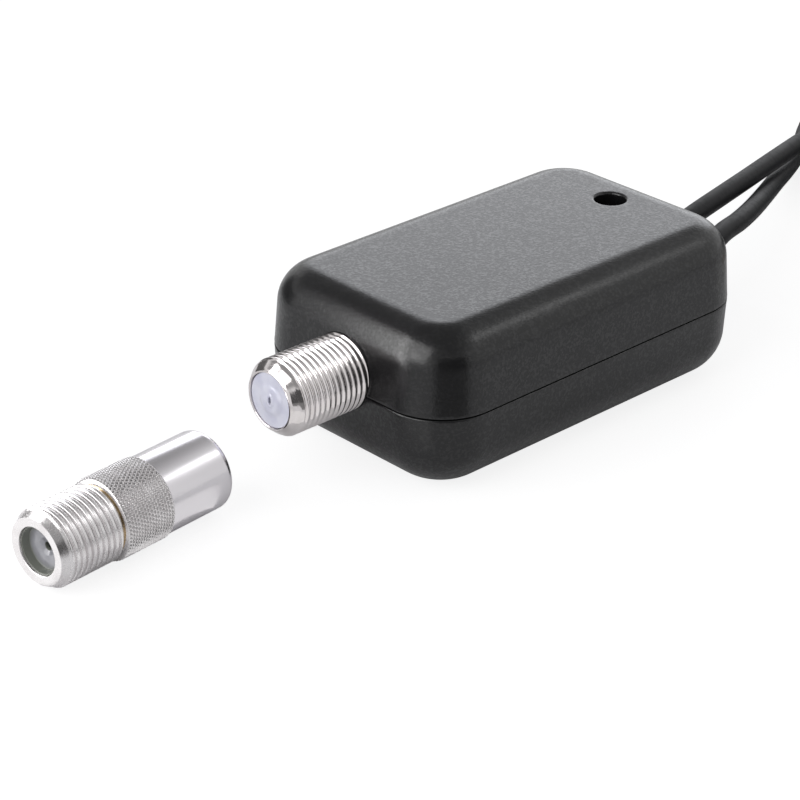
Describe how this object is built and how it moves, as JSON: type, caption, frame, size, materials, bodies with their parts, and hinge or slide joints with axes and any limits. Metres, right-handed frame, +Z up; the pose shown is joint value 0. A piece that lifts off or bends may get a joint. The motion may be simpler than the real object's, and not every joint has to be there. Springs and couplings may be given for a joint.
{
  "type": "tv signal amplifier",
  "caption": "In-line aerial amplifier: rounded plastic housing with a threaded coaxial jack, coaxial output and power leads with plugs, and a loose threaded coaxial adapter.",
  "frame": {"origin": "centre of the housing's flat underside", "axes": "+X from the input jack end to the lead end, +Z up, -Y the long side that the picture shows"},
  "size_m": [0.2584, 0.0543, 0.0204],
  "materials": {
    "housing_plastic": "fine spark-eroded grain, matte black",
    "board_laminate": "solder mask",
    "chip_resin": "matte",
    "chip_ceramic": "fired",
    "can_metal": "sleeved can",
    "tinned_metal": "tinned",
    "copper": "bright copper",
    "lamp_lens": "diffused resin",
    "jack_nickel": "bright nickel plate",
    "jack_insulation": "moulded",
    "contact_metal": "bright",
    "insulation": "moulded",
    "wire_red": "extruded",
    "lead_jacket": "satin extruded jacket",
    "tie_strap": "woven strap",
    "plug_moulding": "satin moulded",
    "plug_nickel": "nickel plate",
    "shell_steel": "plated sheet",
    "tongue_plastic": "moulded",
    "adapter_nickel": "satin nickel plate"
  },
  "bodies": {
    "amplifier": {"top_shell": "housing_plastic", "bottom_shell": "housing_plastic", "circuit_board": "board_laminate", "amplifier_chip": "chip_resin", "chip_leads": "tinned_metal", "chip_capacitors": "chip_ceramic", "chip_resistors": "chip_resin", "filter_capacitor": "can_metal", "choke_core": "chip_resin", "choke_winding": "copper", "indicator_lamp": "lamp_lens", "lamp_leads": "tinned_metal", "jack_barrel": "jack_nickel", "jack_insulator": "jack_insulation", "jack_contact": "contact_metal", "output_stop": "lead_jacket", "power_stop": "lead_jacket", "output_core": "insulation", "power_wires": "wire_red", "output_lead": "lead_jacket", "output_coil": "lead_jacket", "output_tie": "tie_strap", "output_tail": "lead_jacket", "output_boot": "plug_moulding", "output_post": "plug_nickel", "output_insulator": "insulation", "output_conductor": "copper", "power_lead": "lead_jacket", "power_coil": "lead_jacket", "power_tie": "tie_strap", "power_tail": "lead_jacket", "power_grip": "plug_moulding", "power_shell": "shell_steel", "power_tongue": "tongue_plastic", "power_contacts": "contact_metal"},
    "coupling_nut": {"output_nut": "plug_nickel"},
    "adapter": {"adapter_body": "adapter_nickel", "adapter_insulator": "insulation", "adapter_conductor": "contact_metal", "adapter_sleeve": "adapter_nickel", "sleeve_insulator": "insulation"}
  },
  "joints": [
    {"name": "coupling_nut_spin", "type": "hinge", "parent": "amplifier", "child": "coupling_nut", "pos_m": [0.0613, -0.0152, 0.0067], "axis": [-1, 0, 0], "continuous": true},
    {"name": "adapter_lift", "type": "slide", "parent": "amplifier", "child": "adapter", "axis": [0, 0, 1], "range_m": [0, 0.06]}
  ]
}
